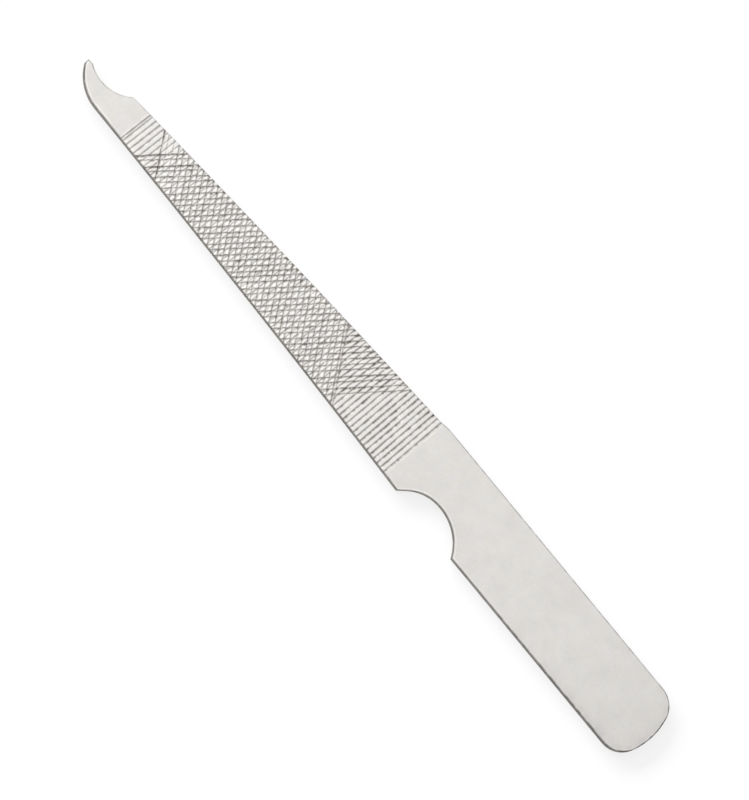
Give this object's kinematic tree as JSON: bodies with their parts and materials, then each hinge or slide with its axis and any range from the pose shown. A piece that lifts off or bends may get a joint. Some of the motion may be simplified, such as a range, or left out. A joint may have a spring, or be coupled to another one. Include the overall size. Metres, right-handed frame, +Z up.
{
  "type": "nail file",
  "caption": "Flat stamped steel nail file with a cross-cut blade, a hooked cleaning tip, a thumb notch and a plain rounded handle.",
  "frame": {"origin": "On the underside, midway along the length and midway across the handle", "axes": "+X along the file from the handle's end toward the hooked tip, +Y toward the side with the thumb notch, +Z up through the cross-cut face"},
  "size_m": [0.13, 0.0122, 0.0012],
  "materials": {
    "satin_steel": "satin nickel-plated steel, even and faintly mottled on the handle, bright on the lands between the tooth cuts and dark at their foot"
  },
  "bodies": {
    "root": {"file_body": "satin_steel"}
  },
  "joints": []
}
